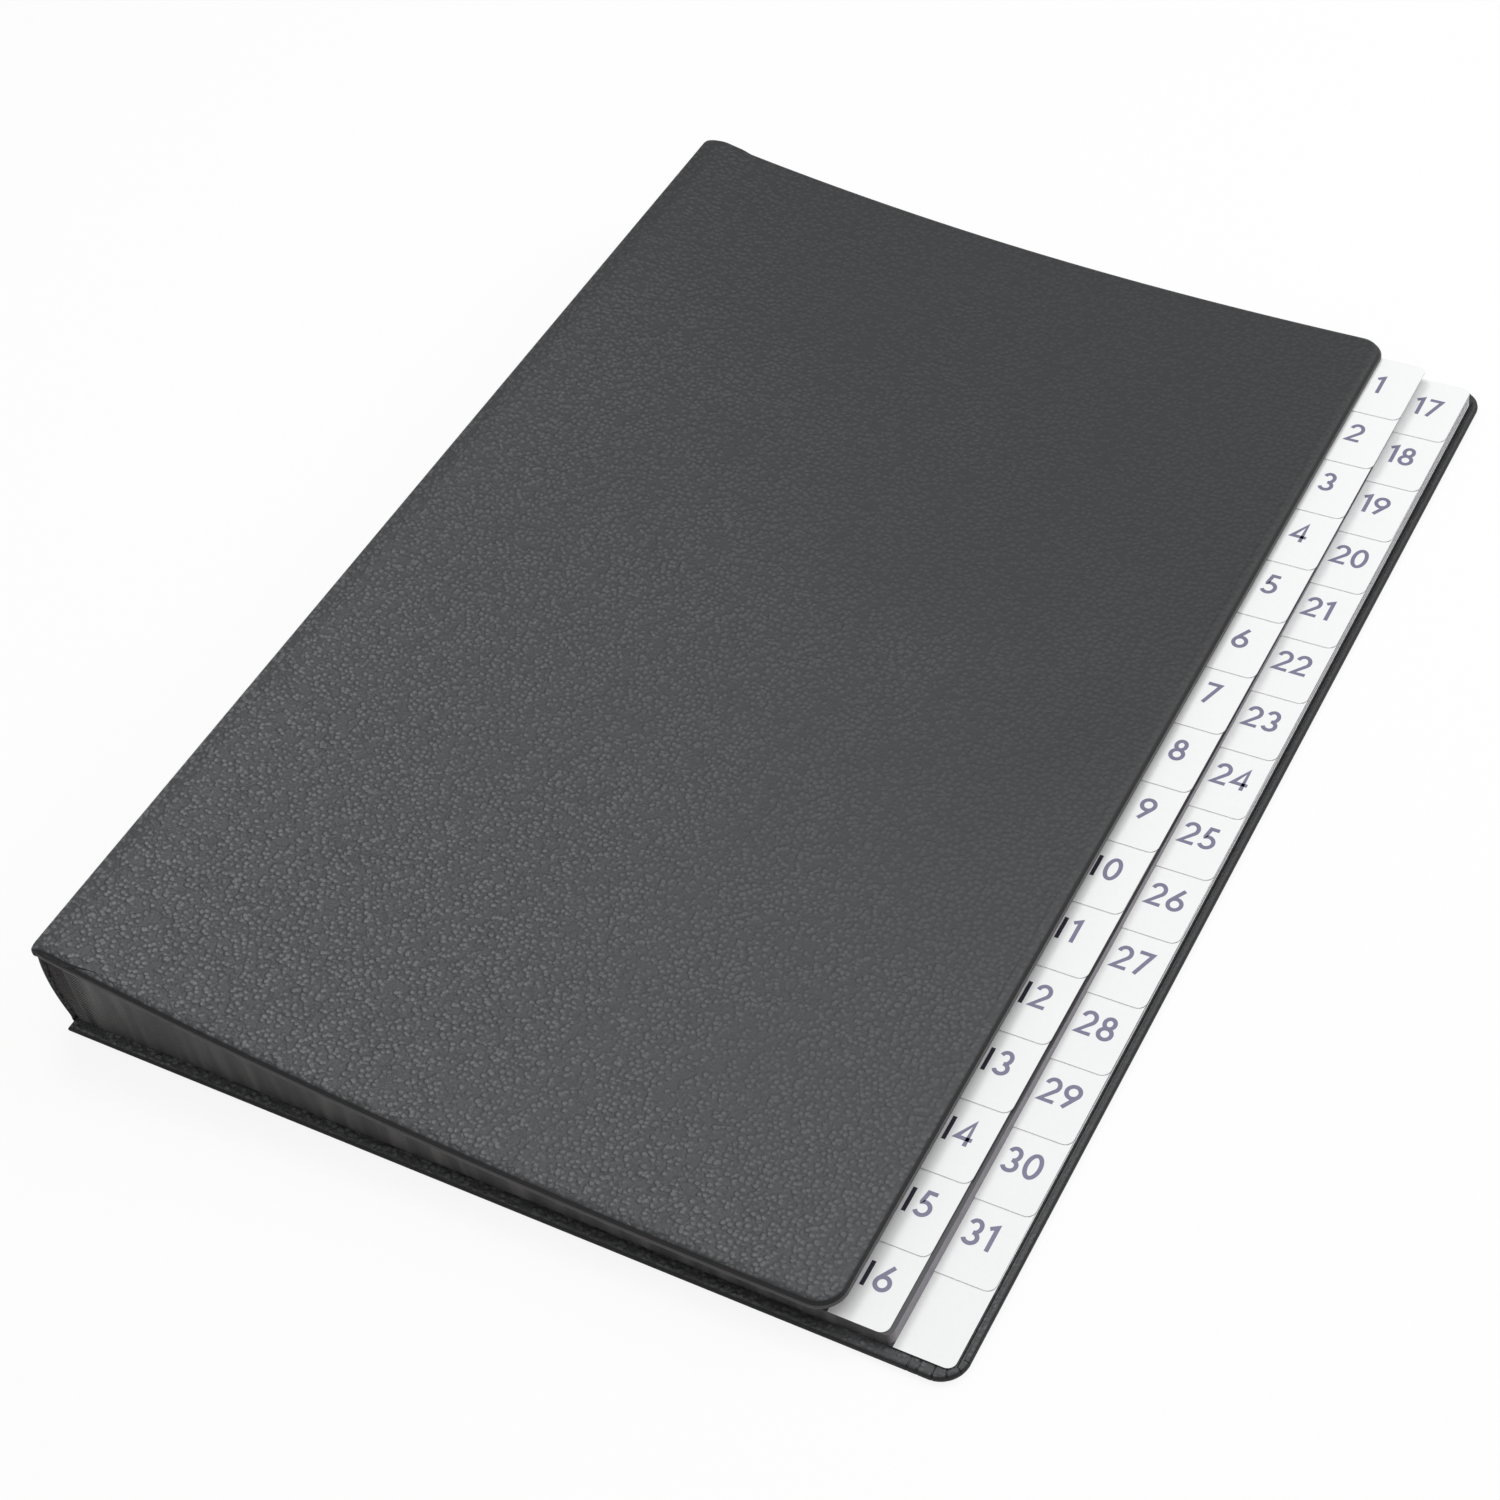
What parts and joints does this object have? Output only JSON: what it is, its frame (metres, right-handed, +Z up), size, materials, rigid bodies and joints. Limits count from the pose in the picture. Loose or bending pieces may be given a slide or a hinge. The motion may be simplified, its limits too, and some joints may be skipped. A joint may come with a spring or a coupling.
{
  "type": "indexed desk file",
  "caption": "Desk file lying on its back: padded leather-look covers and a soft bulging spine around card leaves with plain numbered tabs in two stepped columns.",
  "frame": {"origin": "on the table, under the middle of the closed file's outer box", "axes": "+X from the spine to the fore edge, +Y from the tail to the head, +Z up out of the front cover"},
  "size_m": [0.2456, 0.3384, 0.0337],
  "materials": {
    "covering": "satin",
    "lining": "matte",
    "hinge_cloth": "matte",
    "leaf_card": "matte",
    "white_card": "satin"
  },
  "bodies": {
    "back": {"back_cover": "covering", "back_lining": "lining", "hinge_strip": "hinge_cloth", "index_leaf_01": "leaf_card", "index_leaf_02": "leaf_card", "index_leaf_03": "leaf_card", "index_leaf_04": "leaf_card", "index_leaf_05": "leaf_card", "index_leaf_06": "leaf_card", "index_leaf_07": "leaf_card", "index_leaf_08": "leaf_card", "index_leaf_09": "leaf_card", "index_leaf_10": "leaf_card", "index_leaf_11": "leaf_card", "index_leaf_12": "leaf_card", "index_leaf_13": "leaf_card", "index_leaf_14": "leaf_card", "index_leaf_15": "leaf_card", "index_leaf_16": "leaf_card", "index_leaf_17": "leaf_card", "index_leaf_18": "leaf_card", "index_leaf_19": "leaf_card", "index_leaf_20": "leaf_card", "index_leaf_21": "leaf_card", "index_leaf_22": "leaf_card", "index_leaf_23": "leaf_card", "index_leaf_24": "leaf_card", "index_leaf_25": "leaf_card", "index_leaf_26": "leaf_card", "index_leaf_27": "leaf_card", "index_leaf_28": "leaf_card", "index_leaf_29": "leaf_card", "index_leaf_30": "leaf_card", "index_leaf_31": "leaf_card", "back_leaf": "white_card"},
    "spine": {"spine_cover": "covering"},
    "front": {"front_cover": "covering", "front_lining": "lining"}
  },
  "joints": [
    {"name": "spine_groove", "type": "hinge", "parent": "back", "child": "spine", "pos_m": [-0.1202, 0, 0.0028], "axis": [0, -1, 0], "range_deg": [0, 90]},
    {"name": "front_groove", "type": "hinge", "parent": "spine", "child": "front", "pos_m": [-0.1193, 0, 0.03403], "axis": [0, -1, 0], "range_deg": [0, 95]}
  ]
}
